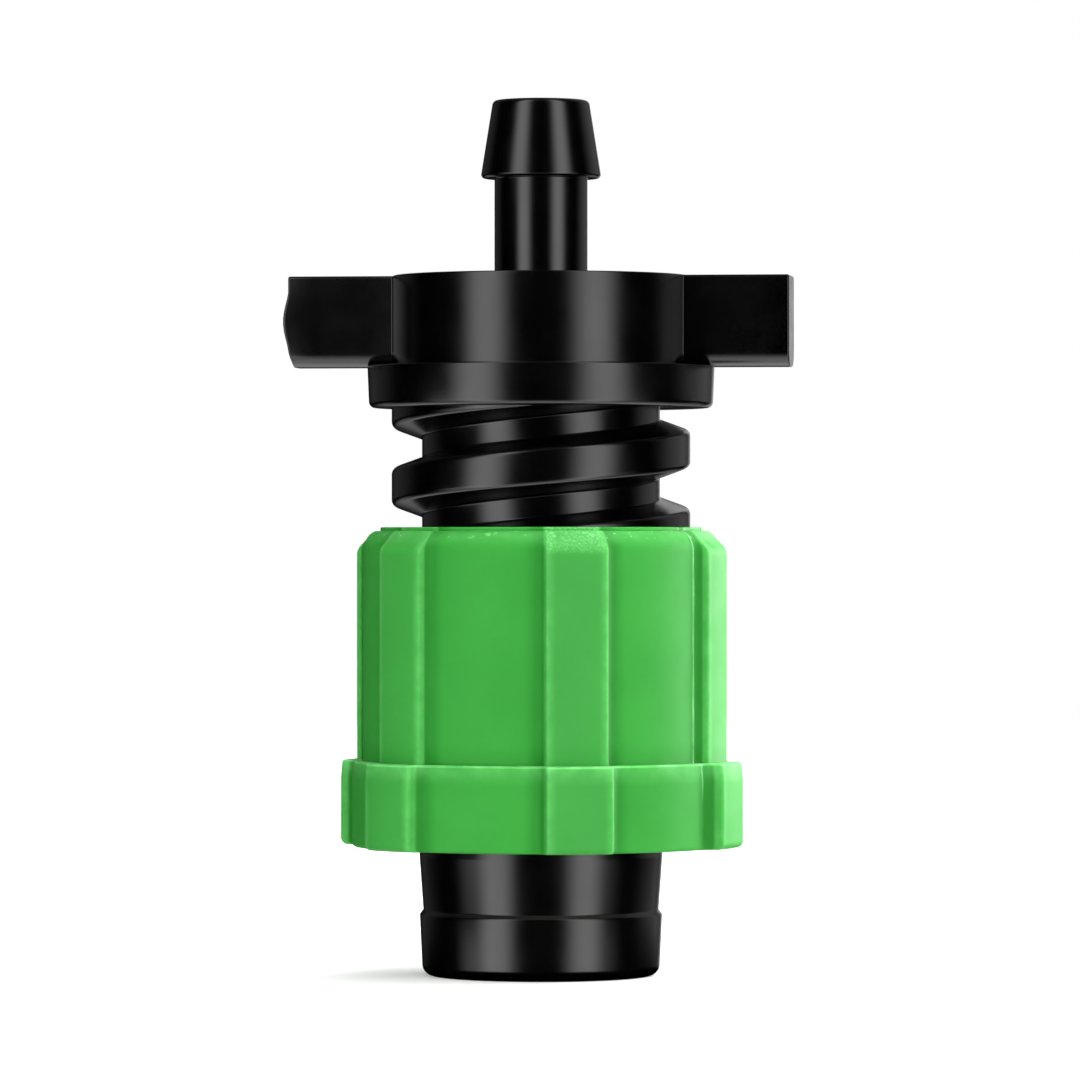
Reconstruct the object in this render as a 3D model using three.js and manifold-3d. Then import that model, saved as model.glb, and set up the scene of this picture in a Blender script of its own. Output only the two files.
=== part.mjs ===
// Drip-tape offtake connector: a barbed hose nozzle on a winged, threaded body, a ribbed lock nut that
// screws along the body, and a split clamp ring that rides in the nut's skirt and grips the tape.
// Millimetres, +Z up along the bore, wings along X. The origin is the centre of the spigot's end face.
import * as THREE from 'three';
import { mergeVertices } from 'three/addons/utils/BufferGeometryUtils.js';
import Module from 'manifold-3d';

const wasm = await Module();
wasm.setup();

// ---------------------------------------------------------------- driving dimensions
const SEGMENTS = 36; // facets round every turned shape
const TURN = 2 * Math.PI;
const DEG = Math.PI / 180;

const TOTAL_HEIGHT = 58.3; // spigot end to nozzle tip
const SPIGOT_R = 8.1; // fits 16 mm drip tape
const SPIGOT_BORE_R = 6.2;
const LIP_HEIGHT = 4.4; // the lip that the tape is locked behind
const LIP_FOOT_R = 7.88;
const LIP_R = 8.08;
const NECK_R = 7.86; // just above the lip
const NECK_TOP = 8.0; // where the neck has widened to the spigot's radius
const END_ROUND = 0.75;

const THREAD_ROOT_R = 7.93;
const THREAD_CREST_R = 9.95;
const THREAD_START = 19.8; // lower end of the threaded length
const PITCH = 5.2; // single start, right-handed
const THREAD_PHASE_Z = 35.0; // height of a ridge's middle on the +X side
const RIDGE_ROOT_WIDTH = 3.75;
const RIDGE_CREST_WIDTH = 2.33;
const RIDGE_ROUND = 0.5; // corner cut on the ridge's crest
const LEAD_IN = 50 * DEG; // the ridge grows to full height over this angle
const LEAD_IN_LEAST = 0.12; // its share of the full height at its very ends

const FLANGE_BOTTOM = 37.8;
const FLANGE_TOP = 40.6;
const FLANGE_R = 11.57;
const FLANGE_FOOT_R = 11.45; // moulding draft
const FLANGE_BEVEL = 0.35;

const HUB_R = 9.9;
const HUB_TOP = 46.6;
const WING_REACH = 16.75; // from the axis to a wing's end face
const WING_THICKNESS = 4.1;
const WING_EDGE_ROUND = 1.1; // lower long edges
const GATE_BULGE = 0.35; // low swelling on one wing's end, where the mould was fed

const STEM_R = 3.1;
const BARB_R = 4.03;
const BARB_BOTTOM = 53.1;
const BARB_TIP_R = 3.2;
const TIP_ROUND = 0.35;
const NOZZLE_BORE_R = 1.9;
const BORE_SHOULDER = 40.0; // the wide bore starts to narrow here
const BORE_NECK = 43.2; // and has reached the nozzle's bore here

const NUT_BOTTOM = 8.6; // at rest, half-way along its travel
const NUT_STEP = 14.3; // top of the skirt
const NUT_TOP = 29.85;
const NUT_R = 11.87;
const NUT_RIB_R = 12.53;
const SKIRT_R = 12.6;
const SKIRT_RIB_R = 13.63;
const NUT_RIM_R = 10.7;
const NUT_RIM_HEIGHT = 0.25;
const NUT_SHOULDER = 28.0; // below this the nut's wall is straight
const RIB_COUNT = 6;
const RIB_HALF_ANGLE = 9.5 * DEG;
const RIB_PHASE = -12 * DEG;
const NUT_BORE_R = 10.25;
const NUT_THREAD_R = 8.45; // crest of the nut's own thread
const NUT_THREAD_TOP = 29.3;
const NUT_THREAD_BOTTOM = 17.3;
const FLANK_CLEARANCE = 0.2;

const RING_BOTTOM = 9.2;
const RING_TOP = 11.8;
const RING_R = 11.2;
const RING_THROAT_R = 8.25;
const RING_FLARE = 0.55;
const RING_SLIT = 1.2;
const POCKET_R = 11.4; // the skirt's pocket for the ring
const POCKET_BOTTOM = 9.05;
const POCKET_TOP = 12.0;
const BEAD_R = 10.9; // snap bead that keeps the ring in the pocket

const BURY = 0.45; // how far a joined piece reaches into its neighbour

// ---------------------------------------------------------------- solids
// A closed three.js geometry as a manifold-3d solid.
function solid(geometry) {
  const bare = geometry.clone();
  bare.deleteAttribute('normal');
  bare.deleteAttribute('uv');
  const merged = mergeVertices(bare, 1e-4);
  return new wasm.Manifold(
    new wasm.Mesh({
      numProp: 3,
      vertProperties: merged.attributes.position.array,
      triVerts: new Uint32Array(merged.index.array),
    }),
  );
}

// A manifold-3d solid as a three.js geometry.
function geometryOf(made) {
  const mesh = made.getMesh();
  const geometry = new THREE.BufferGeometry();
  geometry.setAttribute('position', new THREE.BufferAttribute(new Float32Array(mesh.vertProperties), 3));
  geometry.setIndex(new THREE.BufferAttribute(new Uint32Array(mesh.triVerts), 1));
  geometry.computeVertexNormals();
  return geometry;
}

// Turns [radius, z] points, listed upwards, about Z. The outline has to start and end on the axis.
function turned(outline) {
  const points = outline.map(([r, z]) => new THREE.Vector2(r, z));
  return solid(new THREE.LatheGeometry(points, SEGMENTS).rotateX(Math.PI / 2));
}

// A quarter-like arc of [radius, z] points from one corner to another, bulging outwards and upwards.
function arc(fromR, fromZ, toR, toZ, steps) {
  return Array.from({ length: steps + 1 }, (_, i) => {
    const a = (i / steps) * (Math.PI / 2);
    const outwards = toR > fromR;
    const u = outwards ? Math.sin(a) : 1 - Math.cos(a);
    const v = outwards ? 1 - Math.cos(a) : Math.sin(a);
    return [fromR + (toR - fromR) * u, fromZ + (toZ - fromZ) * v];
  });
}

// Sweeps a [radius, z] section, listed anticlockwise, up a right-handed helix from one angle to another.
// Its height above baseR grows over LEAD_IN at the start and shrinks again at the end.
function helix(section, baseR, start, end) {
  const steps = Math.ceil(((end - start) / TURN) * SEGMENTS);
  const count = section.length;
  const positions = [];
  for (let i = 0; i <= steps; i++) {
    const angle = start + ((end - start) * i) / steps;
    const fromEnd = Math.min(angle - start, end - angle);
    const growth = Math.max(LEAD_IN_LEAST, Math.min(1, fromEnd / LEAD_IN));
    for (const [r, z] of section) {
      const radius = baseR + (r - baseR) * growth;
      positions.push(radius * Math.cos(angle), radius * Math.sin(angle), z + (PITCH * angle) / TURN);
    }
  }
  const index = [];
  for (let i = 0; i < steps; i++) {
    for (let j = 0; j < count; j++) {
      const a = i * count + j;
      const b = i * count + ((j + 1) % count);
      index.push(a, a + count, b, b, a + count, b + count);
    }
  }
  const last = steps * count;
  for (let j = 1; j < count - 1; j++) {
    index.push(0, j, j + 1);
    index.push(last, last + j + 1, last + j);
  }
  const geometry = new THREE.BufferGeometry();
  geometry.setAttribute('position', new THREE.Float32BufferAttribute(positions, 3));
  geometry.setIndex(index);
  return solid(geometry);
}

// A plain cylinder between two heights.
function cylinder(radius, bottom, top) {
  const geometry = new THREE.CylinderGeometry(radius, radius, top - bottom, SEGMENTS).rotateX(Math.PI / 2);
  return solid(geometry.translate(0, 0, (top + bottom) / 2));
}

// ---------------------------------------------------------------- connector body
function spigotAndBarrel() {
  return turned([
    [0, 0],
    [LIP_FOOT_R - END_ROUND, 0],
    ...arc(LIP_FOOT_R - END_ROUND, 0, LIP_FOOT_R, END_ROUND, 3).slice(1),
    [LIP_R, LIP_HEIGHT - 0.5],
    [NECK_R, LIP_HEIGHT],
    [SPIGOT_R, NECK_TOP],
    [SPIGOT_R, THREAD_START - 0.2],
    [THREAD_ROOT_R, THREAD_START],
    [THREAD_ROOT_R, FLANGE_BOTTOM + BURY],
    [0, FLANGE_BOTTOM + BURY],
  ]);
}

function flangeHubAndNozzle() {
  return turned([
    [0, FLANGE_BOTTOM],
    [FLANGE_FOOT_R - FLANGE_BEVEL, FLANGE_BOTTOM],
    [FLANGE_FOOT_R, FLANGE_BOTTOM + FLANGE_BEVEL],
    [FLANGE_R, FLANGE_TOP],
    [HUB_R, FLANGE_TOP],
    [HUB_R, HUB_TOP],
    [STEM_R, HUB_TOP],
    [STEM_R, BARB_BOTTOM],
    [BARB_R - 0.2, BARB_BOTTOM],
    [BARB_R, BARB_BOTTOM + 0.3],
    [BARB_TIP_R, TOTAL_HEIGHT - TIP_ROUND],
    [BARB_TIP_R - TIP_ROUND, TOTAL_HEIGHT],
    [0, TOTAL_HEIGHT],
  ]);
}

// Water passage: wide through the spigot and barrel, a cone in the hub, narrow through the nozzle.
function bore() {
  const past = 1;
  return turned([
    [0, -past],
    [SPIGOT_BORE_R, -past],
    [SPIGOT_BORE_R, BORE_SHOULDER],
    [NOZZLE_BORE_R, BORE_NECK],
    [NOZZLE_BORE_R, TOTAL_HEIGHT + past],
    [0, TOTAL_HEIGHT + past],
  ]);
}

// Outline of a wing across its thickness, drawn as (across, up): round lower edges, square upper ones.
function wingSection() {
  const half = WING_THICKNESS / 2;
  const shape = new THREE.Shape();
  shape.moveTo(half, HUB_TOP);
  shape.lineTo(-half, HUB_TOP);
  shape.lineTo(-half, FLANGE_TOP + WING_EDGE_ROUND);
  shape.absarc(WING_EDGE_ROUND - half, FLANGE_TOP + WING_EDGE_ROUND, WING_EDGE_ROUND, Math.PI, 1.5 * Math.PI);
  shape.absarc(half - WING_EDGE_ROUND, FLANGE_TOP + WING_EDGE_ROUND, WING_EDGE_ROUND, -0.5 * Math.PI, 0);
  shape.lineTo(half, HUB_TOP);
  return shape;
}

// One wing along +X, from inside the hub's wall to its end face.
function wing() {
  const root = HUB_R - 2;
  const geometry = new THREE.ExtrudeGeometry(wingSection(), {
    depth: WING_REACH - root,
    bevelEnabled: false,
    curveSegments: 4,
  });
  // Extruded along Z with the section's "up" on Y: turned so that depth runs along X and up along Z.
  const axes = new THREE.Matrix4().makeBasis(
    new THREE.Vector3(0, 1, 0),
    new THREE.Vector3(0, 0, 1),
    new THREE.Vector3(1, 0, 0),
  );
  return solid(geometry.applyMatrix4(axes).translate(root, 0, 0));
}

// Low round swelling on the end face of the wing at -X.
function gateBulge() {
  const half = WING_THICKNESS / 2 - 0.1;
  const low = FLANGE_TOP + 1.1;
  const high = HUB_TOP - 1.2;
  const shape = new THREE.Shape();
  shape.moveTo(-WING_REACH + BURY, high);
  shape.lineTo(-WING_REACH, high);
  shape.quadraticCurveTo(-WING_REACH - 2 * GATE_BULGE, (low + high) / 2, -WING_REACH, low);
  shape.lineTo(-WING_REACH + BURY, low);
  shape.closePath();
  const geometry = new THREE.ExtrudeGeometry(shape, { depth: 2 * half, bevelEnabled: false, curveSegments: 6 });
  return solid(geometry.rotateX(Math.PI / 2).translate(0, half, 0));
}

// Section of the thread ridge, as [radius, height above its middle], with its corners cut.
function ridgeSection() {
  const root = RIDGE_ROOT_WIDTH / 2;
  const crest = RIDGE_CREST_WIDTH / 2;
  const slope = (root - crest) / (THREAD_CREST_R - THREAD_ROOT_R);
  const inner = THREAD_ROOT_R - BURY;
  const shoulder = crest + slope * RIDGE_ROUND;
  return [
    [inner, -root - slope * BURY],
    [THREAD_CREST_R - RIDGE_ROUND, -shoulder],
    [THREAD_CREST_R, -crest + RIDGE_ROUND],
    [THREAD_CREST_R, crest - RIDGE_ROUND],
    [THREAD_CREST_R - RIDGE_ROUND, shoulder],
    [inner, root + slope * BURY],
  ];
}

function outerThread() {
  const section = ridgeSection().map(([r, z]) => [r, z + THREAD_PHASE_Z]);
  const startZ = THREAD_START + RIDGE_ROOT_WIDTH / 2 + 0.1;
  const start = ((startZ - THREAD_PHASE_Z) / PITCH) * TURN;
  const end = ((FLANGE_BOTTOM + RIDGE_ROOT_WIDTH - THREAD_PHASE_Z) / PITCH) * TURN;
  const ridge = helix(section, THREAD_ROOT_R - BURY, start, end);
  return ridge.intersect(cylinder(FLANGE_R, THREAD_START, FLANGE_BOTTOM + BURY));
}

function connectorBody() {
  const rightWing = wing();
  const leftWing = rightWing.rotate([0, 0, 180]);
  return spigotAndBarrel()
    .add(flangeHubAndNozzle())
    .add(rightWing)
    .add(leftWing)
    .add(gateBulge())
    .add(outerThread())
    .subtract(bore());
}

// ---------------------------------------------------------------- lock nut
// Outside of the nut, at the recesses between its ribs.
function nutCore() {
  return turned([
    [0, NUT_BOTTOM],
    [SKIRT_R - 0.35, NUT_BOTTOM],
    [SKIRT_R, NUT_BOTTOM + 0.35],
    [SKIRT_R, NUT_STEP],
    [NUT_R, NUT_STEP],
    [NUT_R, NUT_SHOULDER],
    ...arc(NUT_R, NUT_SHOULDER, NUT_RIM_R + 0.1, NUT_TOP - NUT_RIM_HEIGHT, 3).slice(1),
    [NUT_RIM_R, NUT_TOP - NUT_RIM_HEIGHT],
    [NUT_RIM_R, NUT_TOP],
    [0, NUT_TOP],
  ]);
}

// The grip ribs: a slightly larger nut, kept only in narrow sectors.
function nutRibs() {
  const envelope = turned([
    [0, NUT_BOTTOM],
    [SKIRT_RIB_R - 0.35, NUT_BOTTOM],
    [SKIRT_RIB_R, NUT_BOTTOM + 0.35],
    [SKIRT_RIB_R, NUT_STEP],
    [NUT_RIB_R, NUT_STEP],
    [NUT_RIB_R - 0.1, NUT_SHOULDER + 0.3],
    [NUT_RIB_R - 0.3, NUT_SHOULDER + 0.6],
    [NUT_RIM_R + 0.6, NUT_TOP - NUT_RIM_HEIGHT],
    [0, NUT_TOP - NUT_RIM_HEIGHT],
  ]);
  const reach = SKIRT_RIB_R + 2;
  const wedge = new THREE.Shape([
    new THREE.Vector2(0, 0),
    new THREE.Vector2(reach, -reach * Math.tan(RIB_HALF_ANGLE)),
    new THREE.Vector2(reach, reach * Math.tan(RIB_HALF_ANGLE)),
  ]);
  const height = NUT_TOP - NUT_BOTTOM + 2;
  const blade = new THREE.ExtrudeGeometry(wedge, { depth: height, bevelEnabled: false });
  blade.translate(0, 0, NUT_BOTTOM - 1);
  let blades = null;
  for (let i = 0; i < RIB_COUNT; i++) {
    const angle = RIB_PHASE + (i * TURN) / RIB_COUNT;
    const next = solid(blade.clone().rotateZ(angle));
    blades = blades ? blades.add(next) : next;
  }
  return envelope.intersect(blades);
}

// Inside of the nut: a plain bore, the ring's pocket in the skirt, and a snap bead at the mouth.
function nutBore() {
  return turned([
    [0, NUT_BOTTOM - 1],
    [BEAD_R, NUT_BOTTOM - 1],
    [BEAD_R, POCKET_BOTTOM],
    [POCKET_R, POCKET_BOTTOM],
    [POCKET_R, POCKET_TOP],
    [NUT_BORE_R, POCKET_TOP],
    [NUT_BORE_R, NUT_TOP - 0.3],
    [NUT_BORE_R + 0.3, NUT_TOP],
    [NUT_BORE_R + 0.3, NUT_TOP + 1],
    [0, NUT_TOP + 1],
  ]);
}

// The nut's own thread fills the groove of the body's thread, less a clearance on each flank.
function innerThread() {
  const ridgeWidth = (r) => {
    const share = (r - THREAD_ROOT_R) / (THREAD_CREST_R - THREAD_ROOT_R);
    return RIDGE_ROOT_WIDTH + (RIDGE_CREST_WIDTH - RIDGE_ROOT_WIDTH) * share;
  };
  const halfGroove = (r) => (PITCH - ridgeWidth(r)) / 2 - FLANK_CLEARANCE;
  const outer = NUT_BORE_R + BURY;
  const middle = THREAD_PHASE_Z + PITCH / 2;
  const section = [
    [outer, middle - halfGroove(outer)],
    [outer, middle + halfGroove(outer)],
    [NUT_THREAD_R, middle + halfGroove(NUT_THREAD_R)],
    [NUT_THREAD_R, middle - halfGroove(NUT_THREAD_R)],
  ];
  const half = halfGroove(outer);
  const start = ((NUT_THREAD_BOTTOM + half - middle) / PITCH) * TURN;
  const end = ((NUT_THREAD_TOP - half - middle) / PITCH) * TURN;
  return helix(section, outer, start, end);
}

function lockNut() {
  return nutCore().add(nutRibs()).subtract(nutBore()).add(innerThread());
}

// ---------------------------------------------------------------- clamp ring
function clampRing() {
  const disc = turned([
    [0, RING_BOTTOM],
    [RING_R - 0.25, RING_BOTTOM],
    [RING_R, RING_BOTTOM + 0.25],
    [RING_R, RING_TOP],
    [0, RING_TOP],
  ]);
  const hole = turned([
    [0, RING_BOTTOM - 1],
    [RING_THROAT_R + RING_FLARE, RING_BOTTOM - 1],
    [RING_THROAT_R + RING_FLARE, RING_BOTTOM],
    [RING_THROAT_R, RING_TOP - 1.2],
    [RING_THROAT_R, RING_TOP + 1],
    [0, RING_TOP + 1],
  ]);
  const slit = new THREE.BoxGeometry(RING_SLIT, RING_R + 2, RING_TOP - RING_BOTTOM + 2);
  slit.translate(0, (RING_R + 2) / 2, (RING_TOP + RING_BOTTOM) / 2);
  return disc.subtract(hole).subtract(solid(slit));
}

// ---------------------------------------------------------------- the assembly
const BLACK_PLASTIC = new THREE.MeshStandardMaterial({ color: 0x161616, roughness: 0.35, metalness: 0 });
const GREEN_PLASTIC = new THREE.MeshStandardMaterial({ color: 0x4bb14d, roughness: 0.45, metalness: 0 });
const NATURAL_PLASTIC = new THREE.MeshStandardMaterial({ color: 0xe6e3d8, roughness: 0.4, metalness: 0 });

const assembly = new THREE.Group();
for (const [name, made, material] of [
  ['connector_body', connectorBody(), BLACK_PLASTIC],
  ['lock_nut', lockNut(), GREEN_PLASTIC],
  ['clamp_ring', clampRing(), NATURAL_PLASTIC],
]) {
  const mesh = new THREE.Mesh(geometryOf(made), material);
  mesh.name = name;
  assembly.add(mesh);
}

export default assembly;
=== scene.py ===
"""Drip-tape start connector: fine meshes, moulded-plastic materials, studio light and camera.

Lengths are in millimetres until a mesh is made; heights are above the spigot's end face.
"""
import math

import bmesh
import bpy
import numpy as np
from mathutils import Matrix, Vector


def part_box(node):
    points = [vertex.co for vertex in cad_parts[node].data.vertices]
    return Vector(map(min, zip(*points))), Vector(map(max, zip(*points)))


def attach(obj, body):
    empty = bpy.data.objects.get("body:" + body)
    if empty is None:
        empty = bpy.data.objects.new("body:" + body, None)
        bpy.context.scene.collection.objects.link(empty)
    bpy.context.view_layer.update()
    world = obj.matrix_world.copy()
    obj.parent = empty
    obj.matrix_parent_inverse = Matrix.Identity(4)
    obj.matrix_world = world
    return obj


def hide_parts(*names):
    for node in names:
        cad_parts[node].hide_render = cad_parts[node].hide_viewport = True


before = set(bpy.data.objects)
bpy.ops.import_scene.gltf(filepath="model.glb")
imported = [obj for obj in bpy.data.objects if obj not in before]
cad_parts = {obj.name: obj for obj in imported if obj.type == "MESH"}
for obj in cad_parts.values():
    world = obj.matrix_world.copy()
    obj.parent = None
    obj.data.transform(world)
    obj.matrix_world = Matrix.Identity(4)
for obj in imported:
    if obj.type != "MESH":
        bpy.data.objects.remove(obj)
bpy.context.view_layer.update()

MM = 0.001
TURN = 2 * math.pi

# ---------------------------------------------------------------- driving dimensions
body_low, body_high = (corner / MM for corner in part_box("connector_body"))
nut_low, nut_high = (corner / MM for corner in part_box("lock_nut"))
ring_low, ring_high = (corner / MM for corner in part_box("clamp_ring"))

TIP = body_high.z
WING_REACH = body_high.x
GATE_BULGE = -body_low.x - WING_REACH
FLANGE_R = body_high.y
FLANGE_DRAFT = 0.12
FLANGE_BOTTOM = 37.8
FLANGE_TOP = 40.6
HUB_R = 9.9
HUB_TOP = 46.6
WING_HALF = 2.05
WING_LOW = FLANGE_TOP - 0.1  # sunk into the flange
WING_HIGH = HUB_TOP - 0.03
WING_BURIED = 2.0  # how far the wing starts inside the hub's wall
WING_ROUNDS = (1.1, 0.22)  # along the lower and the upper edges
WING_FILLET = 0.12
WING_END_ROUND = 0.12
GATE_LOW, GATE_HIGH = 41.7, 45.4  # the swelling on the wing at -X
GATE_DEPTH = 0.5  # how far in from the end face it starts
GATE_SET_BACK = 0.25  # of the end face's lower edge
STEM_R = 3.1
BARB_R = 4.03
BARB_BOTTOM = 53.1
BARB_TIP_R = 3.2
NOZZLE_BORE_R = 1.9
SPIGOT_BORE_R = 6.2
BORE_SHOULDER = 40.0
BORE_NECK = 43.2

LIP_FOOT_R = 7.88
LIP_R = 8.08
LIP_HEIGHT = 4.4
LIP_BEVEL = 0.3
NECK_R = 7.84
SPIGOT_R = 8.1
NECK_TOP = 8.0

ROOT_R = 7.93
THREAD_START = 19.8
BARREL_TOP = THREAD_START - 0.3  # from here a short taper leads in to the thread's root
BARREL_TAPER_TOP = THREAD_START - 0.1
PITCH = 5.2
RIDGE_Z = 35.0  # middle of a ridge on the +X side
RIDGE_HEIGHT = 2.02
RIDGE_ROOT = 3.75
RIDGE_CREST = 2.33
LEAD_IN = math.radians(50)

NUT_BOTTOM = nut_low.z
NUT_TOP = nut_high.z
NUT_R = 11.87
NUT_RIB_R = 12.53
SKIRT_R = 12.6
SKIRT_RIB_R = 13.63
SKIRT_TOP = 14.3
SKIRT_LEAN = (0.1, 1.2)  # how far the skirt's wall leans in, over how much of its height
SHOULDER = NUT_TOP - 0.25
MOUTH = NUT_TOP - 0.35  # where the bevel round the nut's mouth ends
MOUTH_BEVEL = 0.25
RIM_R = 10.7
RIB_COUNT = 6
RIB_PHASE = math.radians(-12)
RIB_HALF = 2.03  # half a rib's width at its top
RIB_FLANK = 0.2
NUT_BEVEL = (11.3, 28.7)  # radius at the shoulder, and the height at which the wall leans in to it
RIB_BEVEL = (11.35, 28.35)
RIB_ARM = 12.3  # radius at which widths along the nut's wall are taken
NUT_BORE_R = 10.25
NUT_RIDGE_HEIGHT = 1.8
NUT_RIDGE_ROOT = 2.68
NUT_RIDGE_CREST = 1.42
NUT_THREAD = (17.3, 29.3)
FLASH_ANGLE = math.radians(-25.7)
FLASH_HALF = 0.12
FLASH_HEIGHT = 0.07
FLASH_SIDES = (0, math.pi)  # the two mould lines are opposite each other
FLASH_BELOW = 3.2  # how far below the skirt's top they start
FLASH_FADES = (2, 0.5)  # lengths over which they come in at the bottom and fade out at the top
POCKET_R = 11.4
POCKET = (9.05, 12.0)
BEAD_R = 10.9
BEAD_BEVEL = 0.2
NUT_FOOT_R = (BEAD_R + BEAD_BEVEL + SKIRT_R) / 2  # middle of the nut's lower face

RING_R = 11.2
RING_THROAT_R = 8.25
RING_THROAT = 1.2  # height of the throat
RING_FLARE = 0.55
RING_SLIT = 1.2

ARC_STEPS = 7
BODY_SIDES = 180
RING_SIDES = 144
WING_STEPS = 5
WING_SIDE_STEPS = 12
NUT_WALL_STEPS = 25
LEAST_ROUND = 0.05
WELD = 1e-6  # metres
CREASE = math.radians(35)  # edges sharper than this stay crisp


# ---------------------------------------------------------------- outlines
def rounded(corners):
    """Points along straight lines between (x, y, radius) corners, with an arc of that radius at each."""
    path = []
    for before, here, after in zip([None] + corners[:-1], corners, corners[1:] + [None]):
        corner, radius = np.array(here[:2], float), here[2]
        if not radius or before is None or after is None:
            path.append(corner)
            continue
        back = np.array(before[:2]) - corner
        on = np.array(after[:2]) - corner
        back, on = back / np.linalg.norm(back), on / np.linalg.norm(on)
        half = math.acos(max(-1, min(1, float(back @ on)))) / 2
        centre = corner + (back + on) / np.linalg.norm(back + on) * radius / math.sin(half)
        spoke = corner + back * radius / math.tan(half) - centre
        turn = (math.pi - 2 * half) * (1 if back[0] * on[1] - back[1] * on[0] < 0 else -1)
        for k in range(ARC_STEPS + 1):
            a = turn * k / ARC_STEPS
            path.append(centre + (spoke[0] * math.cos(a) - spoke[1] * math.sin(a),
                                  spoke[0] * math.sin(a) + spoke[1] * math.cos(a)))
    return np.array(path)


def filled(path, longest):
    """The same path with points added so that no step is longer than that."""
    out = [path[0]]
    for a, b in zip(path[:-1], path[1:]):
        count = max(1, math.ceil(np.linalg.norm(b - a) / longest))
        out += [a + (b - a) * (k + 1) / count for k in range(count)]
    return np.array(out)


def smooth(x):
    """0 below 0, 1 above 1, and a smooth step between."""
    x = np.clip(x, 0, 1)
    return x * x * (3 - 2 * x)


# ---------------------------------------------------------------- skins
def added(name, data):
    """A new object in the scene."""
    thing = bpy.data.objects.new(name, data)
    bpy.context.scene.collection.objects.link(thing)
    return thing


class Skin:
    """Grids of points, welded along their shared borders into one closed mesh."""

    def __init__(self):
        self.points, self.faces, self.count = [], [], 0

    def grid(self, block, around=False):
        """Adds a rows x columns x 3 block of points as quads; around joins its last column to its first."""
        rows, columns = block.shape[:2]
        index = self.count + np.arange(rows * columns).reshape(rows, columns)
        if around:
            index = np.hstack([index, index[:, :1]])
        quads = np.stack([index[:-1, :-1], index[:-1, 1:], index[1:, 1:], index[1:, :-1]], axis=-1)
        self.points.append(block.reshape(-1, 3))
        self.faces += quads.reshape(-1, 4).tolist()
        self.count += rows * columns

    def turned(self, radii, heights, angles):
        """Adds a wall turned about Z. radii is rows x columns, or one per row."""
        radii = np.asarray(radii, float)
        if radii.ndim == 1:
            radii = np.repeat(radii[:, None], len(angles), axis=1)
        self.grid(polar(radii, angles[None, :], np.asarray(heights, float)), around=True)

    def made(self, name):
        """The welded mesh as a new object."""
        mesh = bpy.data.meshes.new(name)
        mesh.from_pydata(np.vstack(self.points) * MM, [], self.faces)
        bm = bmesh.new()
        bm.from_mesh(mesh)
        bmesh.ops.remove_doubles(bm, verts=bm.verts, dist=WELD)
        holes = [e for e in bm.edges if e.is_boundary]
        if holes:
            bmesh.ops.holes_fill(bm, edges=holes)
        bmesh.ops.recalc_face_normals(bm, faces=bm.faces)
        bm.to_mesh(mesh)
        bm.free()
        return added(name, mesh)


def polar(radii, angles, heights):
    """Rows x columns x 3 points from radii and angles, with heights per row or per point."""
    radii, angles = np.broadcast_arrays(radii, angles)
    if heights.ndim == 1:
        heights = heights[:, None]
    heights = np.broadcast_to(heights, radii.shape)
    return np.stack([radii * np.cos(angles), radii * np.sin(angles), heights], axis=-1)


def thread_grid(skin, angles, low, high, middle, ridge, radius):
    """Adds a threaded wall between two heights, whose rows follow the helix.

    middle is the height of a ridge's middle at angle 0, ridge its profile as (offset, height) points, and
    radius turns a ridge height at a place along the helix into a radius. Returns the radii at both ends.
    """
    turns = range(math.floor((low - middle) / PITCH) - 1, math.ceil((high - middle) / PITCH) + 2)
    end = [angles[0] + TURN * turns.stop]
    along = np.concatenate([angles + TURN * turn for turn in turns] + [end])
    centre = middle + PITCH * along / TURN
    heights = np.clip(centre[None, :] + ridge[:, :1], low, high)

    def radii_at(place, z):
        place = place + TURN * np.round((z - middle) / PITCH - place / TURN)
        offset = z - middle - PITCH * place / TURN
        return radius(np.interp(offset, ridge[:, 0], ridge[:, 1]), place)

    skin.grid(polar(radii_at(along[None, :], heights), along[None, :], heights))
    return [radii_at(angles, np.full(len(angles), z)) for z in (low, high)]


def ridge_profile(root, crest, height, root_round, crest_round):
    """Profile of a thread ridge over one pitch, as (offset along Z, height above the root) points."""
    return filled(rounded([
        (-PITCH / 2, 0, 0),
        (-root / 2, 0, root_round),
        (-crest / 2, height, crest_round),
        (crest / 2, height, crest_round),
        (root / 2, 0, root_round),
        (PITCH / 2, 0, 0),
    ]), PITCH / 4)


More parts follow.
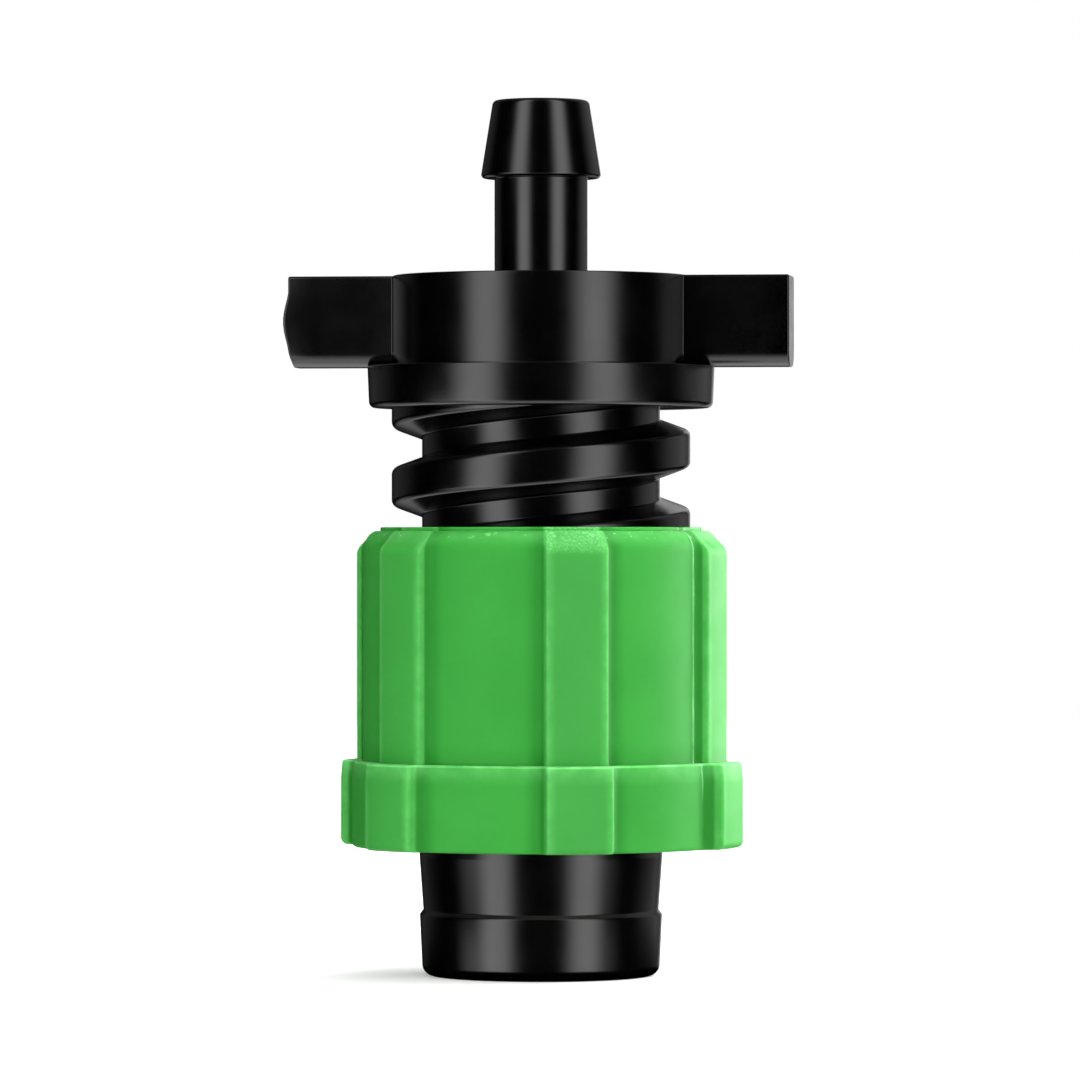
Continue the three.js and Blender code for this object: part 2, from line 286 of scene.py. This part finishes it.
# ---------------------------------------------------------------- connector body
def body_shell():
    """Everything of the moulding that is turned about the bore, with its thread."""
    skin = Skin()
    angles = np.arange(BODY_SIDES) * TURN / BODY_SIDES
    middle = (SPIGOT_BORE_R + LIP_FOOT_R) / 2
    lower = rounded([
        (middle, 0, 0),
        (LIP_FOOT_R, 0, 0.75),
        (LIP_R, LIP_HEIGHT - LIP_BEVEL, 0.16),
        (NECK_R, LIP_HEIGHT, 0.08),
        (SPIGOT_R, NECK_TOP, 2),
        (SPIGOT_R, BARREL_TOP, 0.2),
        (ROOT_R, BARREL_TAPER_TOP, 0.1),
        (ROOT_R, THREAD_START, 0),
    ])
    skin.turned(lower[:, 0], lower[:, 1], angles)

    ridge = ridge_profile(RIDGE_ROOT, RIDGE_CREST, RIDGE_HEIGHT, 0.2, 0.45)
    start = (THREAD_START + RIDGE_ROOT / 2 + 0.1 - RIDGE_Z) / PITCH * TURN  # clear of the plain barrel

    def radius(height, place):
        """Radius at a place along the helix, where the ridge grows over its lead-in."""
        return ROOT_R + height * smooth((place - start) / LEAD_IN)

    ends = thread_grid(skin, angles, THREAD_START, FLANGE_BOTTOM, RIDGE_Z, ridge, radius)

    upper = rounded([
        (ROOT_R + RIDGE_HEIGHT + 0.3, FLANGE_BOTTOM, 0),  # just outside the ridge's crest
        (FLANGE_R - FLANGE_DRAFT, FLANGE_BOTTOM, 0.4),
        (FLANGE_R, FLANGE_TOP, 0.1),
        (HUB_R, FLANGE_TOP, 0.1),
        (HUB_R, HUB_TOP, 0.1),
        (STEM_R, HUB_TOP, 0.15),
        (STEM_R, BARB_BOTTOM, 0.08),
        (BARB_R, BARB_BOTTOM, 0.25),
        (BARB_TIP_R, TIP, 0.35),
        (NOZZLE_BORE_R, TIP, 0.15),
        (NOZZLE_BORE_R, BORE_NECK, 0.3),
        (SPIGOT_BORE_R, BORE_SHOULDER, 0.3),
        (SPIGOT_BORE_R, 0, 0.3),
        (middle, 0, 0),
    ])
    radii = np.vstack([ends[1], np.repeat(upper[:, :1], len(angles), axis=1)])
    skin.turned(radii, np.concatenate([[FLANGE_BOTTOM], upper[:, 1]]), angles)
    return skin.made("fitting_moulding")


def wing_section(half, inset):
    """Outline of a wing across its thickness, as (y, z): round lower edges, crisp upper ones."""
    y, bottom, top = half - inset, WING_LOW + inset, WING_HIGH - inset
    widest = y - 0.01  # so that an arc still fits where the outline is small
    lower, upper = [min(max(LEAST_ROUND, radius - inset), widest) for radius in WING_ROUNDS]
    right = rounded([(0, bottom, 0), (y, bottom, lower), (y, top, upper), (0, top, 0)])
    side = np.linspace(right[ARC_STEPS + 1], right[ARC_STEPS + 2], WING_SIDE_STEPS)
    right = np.vstack([right[:ARC_STEPS + 1], side, right[ARC_STEPS + 3:]])
    left = right[-2:0:-1] * (-1, 1)
    return np.vstack([right, left])


def wing(side):
    """One wing, from inside the hub's wall to its end face. The one at -X has a low swelling on its end."""
    fillet_half = WING_HALF + WING_FILLET
    reach = HUB_R + WING_FILLET
    centre_x = math.sqrt(reach**2 - fillet_half**2)
    tangent_x = centre_x * HUB_R / reach

    # Each station is an x, half the thickness there, and how far the outline is drawn in.
    stations = [(HUB_R - WING_BURIED, fillet_half * HUB_R / reach, 0)]
    for k in range(ARC_STEPS + 1):
        x = tangent_x + (centre_x - tangent_x) * k / ARC_STEPS
        stations.append((x, fillet_half - math.sqrt(WING_FILLET**2 - (centre_x - x) ** 2), 0))
    for x in np.linspace(centre_x, WING_REACH - WING_END_ROUND, WING_STEPS)[1:]:
        stations.append((x, WING_HALF, 0))
    for k in range(1, ARC_STEPS + 1):
        a = k / ARC_STEPS * math.pi / 2
        x = WING_REACH - WING_END_ROUND * (1 - math.sin(a))
        stations.append((x, WING_HALF, WING_END_ROUND * (1 - math.cos(a))))
    for inset in np.linspace(WING_END_ROUND, WING_HALF - LEAST_ROUND, WING_STEPS + 1)[1:]:
        stations.append((WING_REACH, WING_HALF, inset))

    rows = []
    for x, half, inset in stations:
        outline = wing_section(half, inset)
        rows.append(np.column_stack([np.full(len(outline), x), outline]))
    rows.append(rows[-1] * (1, 0, 1))  # the end face closes on its middle line
    block = np.array(rows)
    if side < 0:
        near_end = smooth((block[:, :, 0] - WING_REACH + GATE_DEPTH) / GATE_DEPTH)
        up = block[:, :, 2]
        lens = np.sin(np.pi * np.clip((up - GATE_LOW) / (GATE_HIGH - GATE_LOW), 0, 1)) ** 1.2
        set_back = GATE_SET_BACK * smooth((GATE_LOW - up) / (GATE_LOW - WING_LOW))
        block[:, :, 0] += (GATE_BULGE * lens - set_back) * near_end
    block[:, :, 0] *= side
    block[:, :, 1] *= side
    skin = Skin()
    skin.grid(block, around=True)
    return skin.made("wing")


def joined(piece, others):
    """Unites closed pieces into one closed mesh, with no faces left inside."""
    for other in others:
        union = piece.modifiers.new("union", "BOOLEAN")
        union.operation, union.solver, union.object = "UNION", "EXACT", other
    graph = bpy.context.evaluated_depsgraph_get()
    mesh = bpy.data.meshes.new_from_object(piece.evaluated_get(graph))
    piece.modifiers.clear()
    piece.data = mesh
    for other in others:
        bpy.data.objects.remove(other)
    return piece


# ---------------------------------------------------------------- lock nut
def rib_columns():
    """Angles round the nut, close together on the ribs' edges, and how far each is up a rib, 0 to 1."""
    mean_height = 0.8  # between the wall's ribs and the skirt's
    longest = 0.5
    spacing = TURN / RIB_COUNT
    path = filled(rounded([
        (0, mean_height, 0),
        (RIB_HALF, mean_height, 0.24),
        (RIB_HALF + RIB_FLANK, 0, 0.75),
        (spacing / 2 * RIB_ARM, 0, 0),
    ]), longest)
    half = np.column_stack([path[:, 0] / RIB_ARM, path[:, 1] / mean_height])
    rib = np.vstack([half[:0:-1] * (-1, 1), half[:-1]])
    angles = np.concatenate([RIB_PHASE + k * spacing + rib[:, 0] for k in range(RIB_COUNT)])
    return angles, np.tile(rib[:, 1], RIB_COUNT)


def nut_outline(r, skirt_r, bevel, foot_round, step_round, bevel_rounds):
    """Outside of the nut from its foot to its rim, at a recess or at a rib."""
    path = rounded([
        (NUT_FOOT_R, NUT_BOTTOM, 0),
        (skirt_r, NUT_BOTTOM + 0.02, foot_round),
        (skirt_r, SKIRT_TOP - SKIRT_LEAN[1], 1.0),
        (skirt_r - SKIRT_LEAN[0], SKIRT_TOP, step_round),
        (r, SKIRT_TOP, 0.12),
        (r, bevel[1], bevel_rounds[0]),
        (bevel[0], SHOULDER, bevel_rounds[1]),
        (RIM_R, SHOULDER, 0.04),
        (RIM_R, NUT_TOP, 0.09),
        (NUT_BORE_R + MOUTH_BEVEL, NUT_TOP, 0),
    ])
    wall = int(np.argmax(np.diff(path[:, 1])))  # the longest rise
    steps = np.linspace(path[wall], path[wall + 1], NUT_WALL_STEPS)
    return np.vstack([path[:wall], steps, path[wall + 2:]])


def flash_lines(angles, heights):
    """Height of the two thin uneven ridges that the mould's halves leave down the nut."""
    wave = 0.05 * np.sin(heights * 0.8) + 0.02 * np.sin(heights * 2.3)
    fade_in = smooth((heights - SKIRT_TOP + FLASH_BELOW) / FLASH_FADES[0])
    ends = fade_in * smooth((SHOULDER - heights) / FLASH_FADES[1])
    total = np.zeros(heights.shape)
    for side in FLASH_SIDES:
        across = ((angles - FLASH_ANGLE - side + math.pi) % TURN - math.pi) * RIB_ARM
        ridge = np.clip(1 - np.abs(across[None, :] - wave) / FLASH_HALF, 0, 1)
        uneven = 0.7 + 0.2 * np.sin(heights * 1.3 + side) + 0.1 * np.sin(heights * 3.7)
        total += FLASH_HEIGHT * ridge * uneven * ends
    return total


def nut_shell():
    """The ribbed nut with its thread, and the ring's pocket in its skirt."""
    skin = Skin()
    angles, up = rib_columns()
    across_flash = np.arange(-4, 5) * FLASH_HALF / RIB_ARM / 2  # columns close enough for a line's shape
    flash = np.concatenate([FLASH_ANGLE + side + across_flash for side in FLASH_SIDES])
    both = np.concatenate([angles, flash]) % TURN
    order = np.argsort(both)
    angles, up = both[order], np.concatenate([up, np.zeros(len(flash))])[order]
    recess = nut_outline(
        NUT_R, SKIRT_R, NUT_BEVEL, foot_round=0.25, step_round=0.15, bevel_rounds=(1.4, 0.85))
    rib = nut_outline(
        NUT_RIB_R, SKIRT_RIB_R, RIB_BEVEL, foot_round=0.45, step_round=0.2, bevel_rounds=(0.8, 0.35))
    blend = up[None, :]
    radii = recess[:, :1] * (1 - blend) + rib[:, :1] * blend
    heights = recess[:, 1:] * (1 - blend) + rib[:, 1:] * blend
    skin.grid(polar(radii + flash_lines(angles, heights), angles[None, :], heights), around=True)

    mouth = rounded([
        (NUT_BORE_R + MOUTH_BEVEL, NUT_TOP, 0),
        (NUT_BORE_R, MOUTH + 0.1, 0.1),
        (NUT_BORE_R, MOUTH, 0),
    ])
    skin.turned(mouth[:, 0], mouth[:, 1], angles)

    ridge = ridge_profile(NUT_RIDGE_ROOT, NUT_RIDGE_CREST, NUT_RIDGE_HEIGHT, 0.2, 0.25)
    middle = RIDGE_Z + PITCH / 2  # between two ridges of the body
    start = (NUT_THREAD[0] + NUT_RIDGE_ROOT / 2 - middle) / PITCH * TURN
    end = (NUT_THREAD[1] - NUT_RIDGE_ROOT / 2 - middle) / PITCH * TURN

    def radius(height, place):
        """Radius at a place along the helix, where the ridge grows at one end and dies away at the other."""
        growth = smooth((place - start) / LEAD_IN) * smooth((end - place) / LEAD_IN)
        return NUT_BORE_R - height * growth

    thread_grid(skin, angles, POCKET[1], MOUTH, middle, ridge, radius)

    pocket = rounded([
        (NUT_BORE_R, POCKET[1], 0),
        (POCKET_R, POCKET[1], 0.2),
        (POCKET_R, POCKET[0], 0.1),
        (BEAD_R, POCKET[0], 0.08),
        (BEAD_R, NUT_BOTTOM + BEAD_BEVEL, 0.08),
        (BEAD_R + BEAD_BEVEL, NUT_BOTTOM, 0.08),
        (NUT_FOOT_R, NUT_BOTTOM, 0),
    ])
    skin.turned(pocket[:, 0], pocket[:, 1], angles)
    return skin.made("nut_moulding")


# ---------------------------------------------------------------- clamp ring
def ring_shell():
    """The split ring, as its section swept round from one side of the slit to the other."""
    low, high = ring_low.z, ring_high.z
    foot = (RING_THROAT_R + RING_FLARE + RING_R) / 2
    section = rounded([
        (foot, low, 0),
        (RING_R, low, 0.3),
        (RING_R, high, 0.2),
        (RING_THROAT_R, high, 0.15),
        (RING_THROAT_R, high - RING_THROAT, 0.3),
        (RING_THROAT_R + RING_FLARE, low, 0.15),
        (foot, low, 0),
    ])[:-1]
    gap = RING_SLIT / 2 / RING_R
    angles = np.linspace(math.pi / 2 + gap, math.pi / 2 + TURN - gap, RING_SIDES + 1)
    block = polar(section[None, :, 0], angles[:, None], section[None, :, 1] + 0 * angles[:, None])
    skin = Skin()
    skin.grid(block, around=True)
    return skin.made("clamp_ring_moulding")


# ---------------------------------------------------------------- materials
FLOW_SCALE = 140.0  # scales of the noises, in features per metre
GLOSS_SCALE = 420.0
FROST_SCALE = 700.0
# breaks up the painted highlights and the nicks
HIGHLIGHT_BREAKUP_SCALE = 900.0
NICK_SCALE = 2200.0
GRAIN_SCALE = 5200.0
SPECKLE_SCALE = 6500.0
PLASTIC_IOR = 1.49
# pale green for the painted highlights and for the nicks
HIGHLIGHT_AND_NICK_GREEN = (0.20, 0.66, 0.21, 1)
# dark green for the painted shade
PAINTED_SHADE_GREEN = (0.002, 0.19, 0.004, 1)
FROST_START = (27.9, 28.9)  # heights over which the frosting comes in on the ribs
FROST_SIDE = (-4.0, 1.0)  # places along X over which it comes in, so that the ribs at -X, away from the light, have none: its paleness is partly a painted highlight
PIT_DEPTH = 0.02
FLASH_EDGE = (0.05, 0.13)  # from a mould line, where its painted highlight fades out
FLASH_PALE_START = (11.5, 13.5)  # heights over which that painted highlight comes in


class Nodes:
    """Short ways to add and link shader nodes."""

    def __init__(self, tree):
        self.tree = tree

    def set(self, node, name, value):
        """Sets an input to a value, or links it to another node's output."""
        if isinstance(value, bpy.types.NodeSocket):
            self.tree.links.new(value, node.inputs[name])
        else:
            node.inputs[name].default_value = value

    def add(self, kind, inputs=None, **settings):
        """A new node with these settings and inputs."""
        node = self.tree.nodes.new(kind)
        for name, value in settings.items():
            setattr(node, name, value)
        for name, value in (inputs or {}).items():
            self.set(node, name, value)
        return node

    def math(self, operation, a, b=0.0, c=0.0):
        """Result of one operation on up to three values."""
        return self.add("ShaderNodeMath", {0: a, 1: b, 2: c}, operation=operation).outputs[0]

    def chain(self, operation, values):
        """Result of one operation from each value to the next, such as a sum or a product."""
        result = values[0]
        for value in values[1:]:
            result = self.math(operation, result, value)
        return result

    def weighted(self, parts):
        """Sum of values, each times its weight."""
        return self.chain("ADD", [self.math("MULTIPLY", value, weight) for value, weight in parts])

    def step(self, value, low, high, to_low=0.0, to_high=1.0):
        """Smooth step of a value from one level to another."""
        node = self.add("ShaderNodeMapRange", {
            "Value": value, "From Min": low, "From Max": high, "To Min": to_low, "To Max": to_high,
        }, interpolation_type="SMOOTHSTEP")
        return node.outputs["Result"]

    def band(self, value, low, high, soft_low, soft_high):
        """1 between two levels, fading to 0 outside them."""
        rise = self.step(value, low - soft_low, low)
        return self.math("MULTIPLY", rise, self.step(value, high, high + soft_high, 1.0, 0.0))

    def apart(self, angle, middle, spacing):
        """How far an angle is from the nearest of the angles that follow a middle one at a spacing."""
        offset = self.math("WRAP", self.math("SUBTRACT", angle, middle), spacing / 2, -spacing / 2)
        return self.math("ABSOLUTE", offset)

    def noise(self, place, scale, detail=3.0):
        """Noise with features of about 1 / scale metres."""
        node = self.add("ShaderNodeTexNoise", {"Vector": place, "Scale": scale, "Detail": detail})
        return node.outputs["Fac"]

    def patches(self, place, scale, low, high, values=(0.0, 1.0), detail=3.0):
        """Noise that goes smoothly from one value to the other between two of its levels."""
        return self.step(self.noise(place, scale, detail), low, high, *values)

    def tint(self, factor, colour, other):
        """A colour between two, by a factor."""
        node = self.add("ShaderNodeMix", {"Factor": factor, 6: colour, 7: other}, data_type="RGBA")
        return node.outputs[2]


def plastic(name, dark, light, roughness, grain_height, sockets, marks_and_painted_light=None):
    """Moulded plastic: slow flow variation in colour and gloss, and a fine moulding grain.

    sockets are constants for the shader. marks_and_painted_light turns the nodes, the place on the piece and
    the colour into the colour with its marks and its painted highlights and shade, and the height of the
    marks' pits.
    """
    material = bpy.data.materials.new(name)
    material.use_nodes = True
    nodes = Nodes(material.node_tree)
    shader = material.node_tree.nodes["Principled BSDF"]
    place = nodes.add("ShaderNodeTexCoord").outputs["Object"]
    colour = nodes.tint(nodes.patches(place, FLOW_SCALE, 0.3, 0.7), (*dark, 1), (*light, 1))
    gloss = nodes.patches(place, GLOSS_SCALE, 0.25, 0.75, roughness)
    height = nodes.math("MULTIPLY", nodes.noise(place, GRAIN_SCALE, 4.0), grain_height)
    if marks_and_painted_light:
        colour, pits = marks_and_painted_light(nodes, place, colour)
        height = nodes.math("ADD", height, pits)
    bump = nodes.add("ShaderNodeBump", {"Height": height, "Strength": 1.0, "Distance": MM})
    surface = {"Base Color": colour, "Roughness": gloss, "Normal": bump.outputs[0]}
    for socket, value in {**surface, **sockets}.items():
        nodes.set(shader, socket, value)
    return material


def black_plastic():
    """Glossy black plastic."""
    return plastic(
        "black_plastic",
        dark=(0.0002, 0.0002, 0.0002),
        light=(0.0006, 0.0006, 0.0007),
        roughness=(0.17, 0.22),
        grain_height=0.0002,
        sockets={"IOR": PLASTIC_IOR},
    )


def green_plastic():
    """Waxy green plastic, with the nut's nicks, frosting pits, painted highlights and painted shade."""
    return plastic(
        "green_plastic",
        dark=(0.033, 0.33, 0.036),
        light=(0.042, 0.37, 0.045),
        roughness=(0.48, 0.56),
        grain_height=0.0012,
        sockets={
            "IOR": PLASTIC_IOR,
            "Specular IOR Level": 0.2,
            "Subsurface Weight": 0.7,
            "Subsurface Radius": (0.4, 1.0, 0.4),
            "Subsurface Scale": 1.0 * MM,
        },
        marks_and_painted_light=nut_nicks_and_painted_light,
    )


def natural_plastic():
    """Milky undyed plastic."""
    return plastic(
        "natural_plastic",
        dark=(0.70, 0.67, 0.58),
        light=(0.80, 0.77, 0.69),
        roughness=(0.34, 0.44),
        grain_height=0.001,
        sockets={
            "Subsurface Weight": 0.4,
            "Subsurface Radius": (1.0, 0.9, 0.7),
            "Subsurface Scale": 1.0 * MM,
        },
    )


def nut_nicks_and_painted_light(nodes, place, colour):
    """The nut's colour with its pale nicks, painted highlights on edges, ribs and frosting, and painted
    shade in corners; and the height of the frosting's pits.
    """
    x, y, z = nodes.add("ShaderNodeSeparateXYZ", {0: place}).outputs
    around = nodes.math("ARCTAN2", y, x)
    x, z = nodes.math("DIVIDE", x, MM), nodes.math("DIVIDE", z, MM)
    from_rib = nodes.math("MULTIPLY", nodes.apart(around, RIB_PHASE, TURN / RIB_COUNT), RIB_ARM)
    from_flash = nodes.math("MULTIPLY", nodes.apart(around, FLASH_ANGLE, math.pi), RIB_ARM)

    # painted highlight along the two mould lines
    mould_line_highlight = nodes.chain("MULTIPLY", [
        nodes.step(from_flash, *FLASH_EDGE, 1.0, 0.0),
        nodes.step(z, *FLASH_PALE_START),
    ])
    nicks = nodes.chain("MULTIPLY", [
        nodes.patches(place, NICK_SCALE, 0.62, 0.67, detail=2.0),
        nodes.band(z, SHOULDER - 0.3, SHOULDER - 0.05, 0.3, 0.05),
    ])
    # painted highlights on edges, bevels and mould lines, and pale nicks
    painted_highlights_and_nicks = nodes.weighted([
        (nodes.band(from_rib, RIB_HALF - 0.1, RIB_HALF + 0.08, 0.6, 0.12), 0.30),  # painted highlight on the ribs' edges
        (nodes.band(z, SKIRT_TOP - 0.05, SKIRT_TOP, 1.3, 0.02), 0.35),  # painted highlight on the skirt's wall near its top
        (nodes.band(z, SKIRT_TOP - 0.09, SKIRT_TOP + 0.01, 0.05, 0.02), 0.5),  # painted highlight on the skirt's upper edge
        (nodes.band(z, SHOULDER - 0.25, SHOULDER, 0.8, 0.02), 0.30),  # painted highlight on the bevel below the rim
        (mould_line_highlight, 0.8),
        (nicks, 1.0),
    ])
    uneven = nodes.patches(place, HIGHLIGHT_BREAKUP_SCALE, 0.3, 0.7, (0.45, 1.0))
    # painted highlight: the ribs' tops a little paler than the recesses
    rib_top_highlight = nodes.step(from_rib, RIB_HALF - 0.2, RIB_HALF + 0.1, 1.0, 0.0)

    # frosting on the ribs' tops at +X only, on the lit side: pits, and a paleness that is partly a painted
    # highlight
    frost = nodes.chain("MULTIPLY", [
        nodes.step(from_rib, RIB_HALF - 0.1, RIB_HALF + 0.1, 1.0, 0.0),
        nodes.step(x, *FROST_SIDE),
        nodes.step(z, *FROST_START),
        nodes.patches(place, FROST_SCALE, 0.28, 0.48),
    ])
    speckle = nodes.patches(place, SPECKLE_SCALE, 0.46, 0.62, detail=2.0)
    # the frosting's paleness, partly a painted highlight
    frost_and_highlight = nodes.math("MULTIPLY", frost, nodes.math("MULTIPLY_ADD", speckle, 0.6, 0.25))
    # how far towards the pale green: painted highlights, the frosting and the nicks
    pale = nodes.weighted([(nodes.math("MULTIPLY", painted_highlights_and_nicks, uneven), 1.0), (frost_and_highlight, 0.7), (rib_top_highlight, 0.09)])

    # painted shade in the corners at the ribs' roots
    corner = nodes.band(from_rib, RIB_HALF + 0.22, RIB_HALF + 0.35, 0.12, 1.3)
    # painted shade on the wall just above the skirt
    above_skirt = nodes.band(z, SKIRT_TOP, SKIRT_TOP + 0.1, 0.02, 1.6)
    painted_shade = nodes.weighted([(corner, 0.6), (above_skirt, 0.30)])
    # the colour with painted shade and painted highlights, and the pale nicks
    colour_with_nicks_and_painted_light = nodes.tint(pale, nodes.tint(painted_shade, colour, PAINTED_SHADE_GREEN), HIGHLIGHT_AND_NICK_GREEN)
    return colour_with_nicks_and_painted_light, nodes.chain("MULTIPLY", [speckle, frost, PIT_DEPTH])


# ---------------------------------------------------------------- studio
CAMERA_AZIMUTH = math.radians(7)
CAMERA_DISTANCE = 450.0
EYE_HEIGHT = 29.0
LENS = 225.0
SENSOR = 36
AXIS_OFFSET = 0.067  # the axis stands this far right of the picture's middle

# Soft boxes round the object: azimuth from the camera (right is positive), its half width and soft edge,
# then lowest and highest elevation and their soft edge, all in degrees, and the brightness.
REFLECTED_BOXES = [
    (-43.5, 4, 20, -40, 55, 15, 3.3),  # front left: the long highlight on the round black walls
    (42.5, 3, 22, -40, 55, 15, 3.3),  # front right: the same on the other side
    (130, 8, 28, -4, 50, 4, 0.32),  # behind on the right, for the right edges
    (169, 3, 6, -5, 50, 15, 0.75),  # far behind
    (-138, 8, 24, -4, 50, 4, 0.085),  # behind on the left, much weaker
    (180, 40, 20, -50, -25, 12, 0.4),  # low behind
    (0, 180, 1, 60, 90, 20, 0.15),  # overhead
    (-66, 2, 24, -35, -9, 4, 1.3),  # low left, for the neck and the lip, whose walls face a little down
    (62, 2, 20, -35, -9, 4, 0.7),  # low right, for the same
    (0, 180, 1, -90, -70, 45, 2.2),  # underneath
]
FILL_BOXES = [
    (9, 10, 18, -30, 45, 15, 3.4),  # front
    (-65, 5, 25, -30, 45, 15, 1.6),  # left
    (123, 12, 22, -30, 45, 15, 6.8),  # behind on the right
    (160, 8, 22, -20, 45, 15, 1.0),  # far behind
    (60, 60, 60, 50, 90, 15, 3.0),  # overhead, towards the right
    (0, 180, 1, -90, -50, 15, 0.5),  # underneath
]

RIM_AZIMUTH = math.radians(118)  # from the camera, as for the boxes
RIM_DISTANCE = 600.0
RIM_SIZE = (700.0, 400.0)
RIM_POWER = 6.5

CARD_R = 10.0
CARD_SIDES = 48
CARD_DEPTH = 0.05
FLOOR_HALF = 600.0


def camera():
    """Level camera in front, a little towards +X."""
    back = Vector((math.sin(CAMERA_AZIMUTH), -math.cos(CAMERA_AZIMUTH), 0))
    left = Vector((-math.cos(CAMERA_AZIMUTH), -math.sin(CAMERA_AZIMUTH), 0))
    data = bpy.data.cameras.new("camera")
    data.lens, data.sensor_width = LENS, SENSOR
    data.clip_start, data.clip_end = 0.01, 20
    seen = added("camera", data)
    seen.location = (back * CAMERA_DISTANCE + left * AXIS_OFFSET + Vector((0, 0, EYE_HEIGHT))) * MM
    seen.rotation_euler = (-back).to_track_quat("-Z", "Y").to_euler()
    bpy.context.scene.camera = seen


def box_light(nodes, azimuth, elevation, boxes):
    """Brightness of a set of soft boxes in a direction."""
    lit = []
    for *angles, brightness in boxes:
        middle, half, edge, low, high, tilt_edge = [math.radians(angle) for angle in angles]
        across = nodes.step(nodes.apart(azimuth, middle, TURN), half, half + edge, 1.0, 0.0)
        along = nodes.band(elevation, low, high, tilt_edge, tilt_edge)
        lit.append((nodes.math("MULTIPLY", across, along), brightness))
    return nodes.weighted(lit)


def studio_light():
    """A white room to the camera; to the object, soft boxes, with a fill of their own for matt surfaces."""
    world = bpy.data.worlds.new("studio")
    bpy.context.scene.world = world
    world.use_nodes = True
    world.cycles.sampling_method = "NONE"  # so that each kind of ray finds its own boxes
    nodes = Nodes(world.node_tree)
    world.node_tree.nodes.clear()
    ray = nodes.add("ShaderNodeSeparateXYZ", {0: nodes.add("ShaderNodeTexCoord").outputs["Generated"]})
    x, y, z = ray.outputs
    azimuth = nodes.math("ADD", nodes.math("ARCTAN2", y, x), math.pi / 2 - CAMERA_AZIMUTH)
    elevation = nodes.math("ARCSINE", z)
    path = nodes.add("ShaderNodeLightPath").outputs
    strength = nodes.add("ShaderNodeMix", {
        "Factor": path["Is Diffuse Ray"],
        "A": box_light(nodes, azimuth, elevation, REFLECTED_BOXES),
        "B": box_light(nodes, azimuth, elevation, FILL_BOXES),
    })
    lit = nodes.add("ShaderNodeBackground", {"Color": (1, 1, 1, 1), "Strength": strength.outputs[0]})
    white = nodes.add("ShaderNodeBackground", {"Color": (1, 1, 1, 1), "Strength": 1.0})
    shown = nodes.add("ShaderNodeMixShader", {
        0: path["Is Camera Ray"], 1: lit.outputs[0], 2: white.outputs[0]})
    nodes.add("ShaderNodeOutputWorld", {"Surface": shown.outputs[0]})
    bpy.context.scene.view_settings.view_transform = "Standard"


def rim_light(piece):
    """A soft box behind on the right, which only this piece's gloss picks up."""
    data = bpy.data.lights.new("rim", "AREA")
    data.shape, data.energy = "RECTANGLE", RIM_POWER
    data.size, data.size_y = RIM_SIZE[0] * MM, RIM_SIZE[1] * MM
    light = added("rim", data)
    angle = RIM_AZIMUTH - math.pi / 2 + CAMERA_AZIMUTH
    towards = Vector((math.cos(angle), math.sin(angle), 0))
    light.location = (towards * RIM_DISTANCE + Vector((0, 0, EYE_HEIGHT))) * MM
    light.rotation_euler = towards.to_track_quat("Z", "Y").to_euler()
    light.visible_camera = light.visible_diffuse = False
    receivers = bpy.data.collections.new("rim_receivers")
    receivers.objects.link(piece)
    light.light_linking.receiver_collection = receivers


def stage_sheet(name, outline, sockets):
    """A flat sheet, from the points round it and the constants for its shader."""
    mesh = bpy.data.meshes.new(name)
    mesh.from_pydata(np.array(outline) * MM, [], [tuple(range(len(outline)))])
    material = bpy.data.materials.new(name)
    material.use_nodes = True
    shader = material.node_tree.nodes["Principled BSDF"]
    for socket, value in sockets.items():
        shader.inputs[socket].default_value = value
    mesh.materials.append(material)
    return added(name, mesh)


def dark_card():
    """A black card just under the spigot, seen only in reflections: it keeps the foot's round edge dark."""
    angles = np.arange(CARD_SIDES) * TURN / CARD_SIDES
    depths = np.full(CARD_SIDES, -CARD_DEPTH)
    rim = np.column_stack([CARD_R * np.cos(angles), CARD_R * np.sin(angles), depths])
    card = stage_sheet("dark_card", rim, {"Base Color": (0, 0, 0, 1), "Specular IOR Level": 0.0})
    card.visible_camera = card.visible_diffuse = card.visible_shadow = False


def floor():
    """A plain pale floor under the spigot. The object sees the soft boxes' lower ends in its place."""
    corners = [(x * FLOOR_HALF, y * FLOOR_HALF, 0) for x, y in ((-1, -1), (1, -1), (1, 1), (-1, 1))]
    ground = stage_sheet("floor", corners, {
        "Base Color": (0.9, 0.9, 0.9, 1),
        "Roughness": 0.9,
        "Specular IOR Level": 0.0,
        "Emission Color": (1, 1, 1, 1),
        "Emission Strength": 0.3,
    })
    ground.visible_glossy = ground.visible_diffuse = False


# ---------------------------------------------------------------- the object
def finished(piece, material, body, node):
    """The piece with its material and smooth shading, put in its CAD node's place."""
    piece.data.materials.clear()
    piece.data.materials.append(material)
    piece.data.shade_smooth()
    piece.data.set_sharp_from_angle(angle=CREASE)
    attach(piece, body)
    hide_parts(node)
    return piece


camera()
studio_light()
floor()
dark_card()
body = joined(body_shell(), [wing(1), wing(-1)])
finished(body, black_plastic(), "fitting", "connector_body")
nut = finished(nut_shell(), green_plastic(), "nut", "lock_nut")
nut.visible_glossy = False  # the black plastic doesn't mirror the green one
rim_light(nut)
finished(ring_shell(), natural_plastic(), "ring", "clamp_ring")
